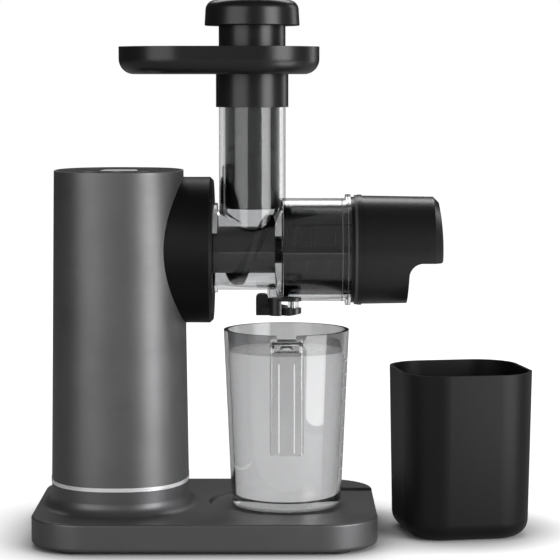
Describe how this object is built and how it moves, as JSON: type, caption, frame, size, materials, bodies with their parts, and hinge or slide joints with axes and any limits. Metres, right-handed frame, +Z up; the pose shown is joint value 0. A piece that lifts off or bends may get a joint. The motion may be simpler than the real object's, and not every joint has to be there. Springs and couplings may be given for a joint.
{
  "type": "cold press juicer",
  "caption": "Cold press juicer: oval motor tower on a slab base, horizontal auger in a clear drum, feed tray with pusher, juice jug under the spout and a separate pulp cup.",
  "frame": {"origin": "table level under the middle of the footprint", "axes": "+X along the machine from the motor tower to the pulp outlet, the user stands at -Y, +Z up"},
  "size_m": [0.3457, 0.175, 0.3723],
  "materials": {
    "graphite_metal": "satin metallic",
    "base_metal": "satin",
    "black_plastic": "satin",
    "matte_black": "matte",
    "trim_chrome": "polished",
    "clear_plastic": "clear gloss",
    "window": "frosted",
    "rubber": "matte",
    "clear_seal": "translucent",
    "steel": "brushed",
    "sheet_steel": "drawn sheet",
    "bronze": "sintered",
    "cast_alloy": "cast",
    "copper": "enamelled wire",
    "magnet": "matte",
    "circuit": "satin",
    "nylon": "matte"
  },
  "bodies": {
    "motor_base": {"base_housing": "base_metal", "bottom_cover": "matte_black", "rubber_feet": "rubber", "base_screws": "steel", "cord_gland": "rubber", "trim_ring": "trim_chrome", "tower_shell": "graphite_metal", "top_panel": "black_plastic", "display_window": "window", "control_board": "circuit", "button_switches": "black_plastic", "power_board": "circuit", "board_rails": "nylon", "drum_mount": "black_plastic", "mount_screws": "steel", "shaft_seal": "rubber", "gearbox_housing": "cast_alloy", "gearbox_cover": "cast_alloy", "gearbox_screws": "steel", "output_bushes": "bronze", "idler_bushes": "bronze", "motor_can": "sheet_steel", "motor_magnets": "magnet", "motor_front_bell": "sheet_steel", "motor_rear_bell": "sheet_steel", "motor_bearings": "steel", "motor_screws": "steel", "motor_brushes": "magnet", "motor_cradle": "nylon", "cradle_pad": "rubber"},
    "rotor": {"motor_shaft": "steel", "motor_pinion": "steel", "armature_core": "sheet_steel", "armature_windings": "copper", "commutator": "copper", "motor_fan": "nylon"},
    "idler": {"idler_gear": "nylon", "idler_pinion": "steel"},
    "auger_drive": {"output_gear": "steel", "output_shaft": "steel", "auger": "matte_black"},
    "drum": {"drum_housing": "clear_plastic", "strainer_frame": "black_plastic", "strainer_mesh": "steel", "drip_stop_pin": "steel"},
    "drip_stop_lever": {"drip_stop": "black_plastic", "drip_stop_seal": "rubber"},
    "cap": {"front_cap": "black_plastic", "cap_seal_ring": "clear_seal", "tip_bush": "bronze"},
    "tray": {"hopper_tray": "black_plastic"},
    "pusher": {"pusher_body": "black_plastic", "pusher_cap": "black_plastic"},
    "jug": {"juice_jug": "clear_plastic"},
    "cup": {"pulp_cup": "black_plastic"},
    "power_key": {"power_button": "black_plastic"},
    "start_key": {"start_button": "black_plastic"},
    "reverse_key": {"reverse_button": "black_plastic"}
  },
  "joints": [
    {"name": "auger_spin", "type": "hinge", "parent": "motor_base", "child": "auger_drive", "pos_m": [-0.04915, 0, 0.1988], "axis": [1, 0, 0], "continuous": true},
    {"name": "idler_spin", "type": "hinge", "parent": "motor_base", "child": "idler", "pos_m": [-0.08, 0, 0.15943], "axis": [1, 0, 0], "continuous": true},
    {"name": "rotor_spin", "type": "hinge", "parent": "motor_base", "child": "rotor", "pos_m": [-0.12, 0, 0.12005], "axis": [1, 0, 0], "continuous": true},
    {"name": "drum_twist", "type": "hinge", "parent": "motor_base", "child": "drum", "pos_m": [-0.04915, 0, 0.1988], "axis": [-1, 0, 0], "range_deg": [0, 45]},
    {"name": "front_cap_twist", "type": "hinge", "parent": "drum", "child": "cap", "pos_m": [0.05, 0, 0.1988], "axis": [1, 0, 0], "range_deg": [0, 30]},
    {"name": "drip_stop_swing", "type": "hinge", "parent": "drum", "child": "drip_stop_lever", "pos_m": [0.00655, -0.024, 0.16], "axis": [0, 0, 1], "range_deg": [0, 90]},
    {"name": "tray_lift", "type": "slide", "parent": "drum", "child": "tray", "axis": [0, 0, 1], "range_m": [0, 0.035]},
    {"name": "pusher_slide", "type": "slide", "parent": "tray", "child": "pusher", "axis": [0, 0, 1], "range_m": [0, 0.1]},
    {"name": "power_press", "type": "slide", "parent": "motor_base", "child": "power_key", "axis": [0, 0, -1], "range_m": [0, 0.001], "stiffness_N_per_m": 300},
    {"name": "start_press", "type": "slide", "parent": "motor_base", "child": "start_key", "axis": [0, 0, -1], "range_m": [0, 0.001], "stiffness_N_per_m": 300},
    {"name": "reverse_press", "type": "slide", "parent": "motor_base", "child": "reverse_key", "axis": [0, 0, -1], "range_m": [0, 0.001], "stiffness_N_per_m": 300},
    {"name": "jug_pull", "type": "slide", "parent": "motor_base", "child": "jug", "axis": [0, -0.9903, 0.1386], "range_m": [0, 0.15]},
    {"name": "cup_pull", "type": "slide", "parent": "motor_base", "child": "cup", "axis": [0, -1, 0], "range_m": [0, 0.15]}
  ],
  "couplings": [
    {"joint": "idler_spin", "follows": "auger_spin", "ratio": -3.5},
    {"joint": "rotor_spin", "follows": "auger_spin", "ratio": 12.25}
  ]
}
